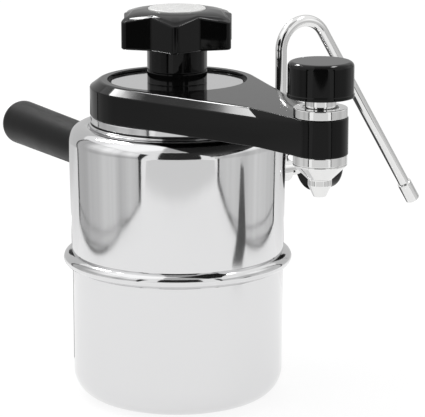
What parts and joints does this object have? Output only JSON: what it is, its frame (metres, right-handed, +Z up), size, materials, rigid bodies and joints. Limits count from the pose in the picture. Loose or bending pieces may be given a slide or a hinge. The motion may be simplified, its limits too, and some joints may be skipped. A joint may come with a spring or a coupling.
{
  "type": "stovetop espresso maker",
  "caption": "Stovetop espresso maker: polished steel boiler with a seam, screw-down black lid whose arm carries a coffee valve, side handle, steam valve and swivelling wand.",
  "frame": {"origin": "centre of the boiler's flat base, on the table", "axes": "+Z up along the boiler's axis, +X towards the coffee valve on the lid's arm, -X towards the handle, +Y towards the steam valve and wand"},
  "size_m": [0.2983, 0.2129, 0.199],
  "materials": {
    "polished_steel": "mirror polished",
    "inner_steel": "satin",
    "chromed_brass": "chrome plated",
    "plain_brass": "turned",
    "gloss_black": "gloss",
    "satin_black": "satin",
    "white_cap": "gloss",
    "seal": "matte",
    "packing": "smooth"
  },
  "bodies": {
    "boiler": {"boiler_cup": "polished_steel", "boiler_shell": "polished_steel", "neck_ring": "polished_steel", "post_bridge": "inner_steel", "clamp_post": "inner_steel", "handle_stud": "inner_steel", "grip_insert": "plain_brass", "handle_grip": "satin_black", "steam_boss": "polished_steel", "steam_valve_body": "chromed_brass", "steam_gland_nut": "chromed_brass", "steam_packing": "packing", "wand_nut": "chromed_brass", "wand_packing": "packing", "safety_body": "chromed_brass", "safety_ball": "inner_steel", "safety_spring": "inner_steel", "safety_cap": "plain_brass"},
    "basket": {"coffee_basket": "inner_steel", "basket_pan": "inner_steel", "riser_tube": "inner_steel", "basket_gasket": "seal"},
    "filter": {"upper_filter": "inner_steel"},
    "lid": {"lid_arm": "gloss_black", "top_disc": "polished_steel", "collar_ring": "gloss_black", "lid_bush": "inner_steel", "lid_plate": "inner_steel", "lid_gasket": "seal", "post_gasket": "seal", "lid_screws": "inner_steel", "coffee_tube": "inner_steel", "coffee_valve_body": "chromed_brass", "coffee_lock_ring": "chromed_brass", "coffee_packing": "packing", "coffee_gland_nut": "chromed_brass", "coffee_spout": "chromed_brass"},
    "clamp_washer": {"knob_washer": "inner_steel"},
    "clamp_knob": {"closing_knob": "gloss_black", "knob_insert": "plain_brass", "knob_cap": "white_cap"},
    "coffee_seat_disc": {"coffee_jumper": "plain_brass"},
    "coffee_valve_knob": {"coffee_spindle": "chromed_brass", "coffee_knob": "gloss_black"},
    "steam_seat_disc": {"steam_jumper": "plain_brass"},
    "steam_valve_knob": {"steam_spindle": "chromed_brass", "steam_knob": "gloss_black"},
    "wand": {"steam_wand": "polished_steel", "wand_collar": "polished_steel", "steam_nozzle": "chromed_brass"}
  },
  "joints": [
    {"name": "basket_lift", "type": "slide", "parent": "boiler", "child": "basket", "axis": [0, 0, 1], "range_m": [0, 0.14]},
    {"name": "filter_lift", "type": "slide", "parent": "basket", "child": "filter", "axis": [0, 0, 1], "range_m": [0, 0.05]},
    {"name": "lid_lift", "type": "slide", "parent": "filter", "child": "lid", "axis": [0, 0, 1], "range_m": [0, 0.07]},
    {"name": "closing_knob_rise", "type": "slide", "parent": "lid", "child": "clamp_washer", "axis": [0, 0, 1], "range_m": [0, 0.0151]},
    {"name": "closing_knob_turn", "type": "hinge", "parent": "clamp_washer", "child": "clamp_knob", "pos_m": [0, 0, 0.18], "axis": [0, 0, 1], "range_deg": [0, 4320]},
    {"name": "coffee_valve_rise", "type": "slide", "parent": "lid", "child": "coffee_seat_disc", "axis": [0, 0, 1], "range_m": [0, 0.0023]},
    {"name": "coffee_knob_turn", "type": "hinge", "parent": "coffee_seat_disc", "child": "coffee_valve_knob", "pos_m": [0.1205, 0, 0.18], "axis": [0, 0, 1], "range_deg": [0, 540]},
    {"name": "steam_valve_rise", "type": "slide", "parent": "boiler", "child": "steam_seat_disc", "axis": [0, 1, 0], "range_m": [0, 0.0023]},
    {"name": "steam_knob_turn", "type": "hinge", "parent": "steam_seat_disc", "child": "steam_valve_knob", "pos_m": [0, 0.09, 0.1085], "axis": [0, 1, 0], "range_deg": [0, 540]},
    {"name": "wand_swivel", "type": "hinge", "parent": "boiler", "child": "wand", "pos_m": [0, 0.0638, 0.12], "axis": [0, 0, 1], "range_deg": [-80, 80]}
  ],
  "couplings": [
    {"joint": "closing_knob_rise", "follows": "closing_knob_turn", "m_per_rad": 0.00019894},
    {"joint": "coffee_valve_rise", "follows": "coffee_knob_turn", "m_per_rad": 0.00023873},
    {"joint": "steam_valve_rise", "follows": "steam_knob_turn", "m_per_rad": 0.00023873}
  ]
}
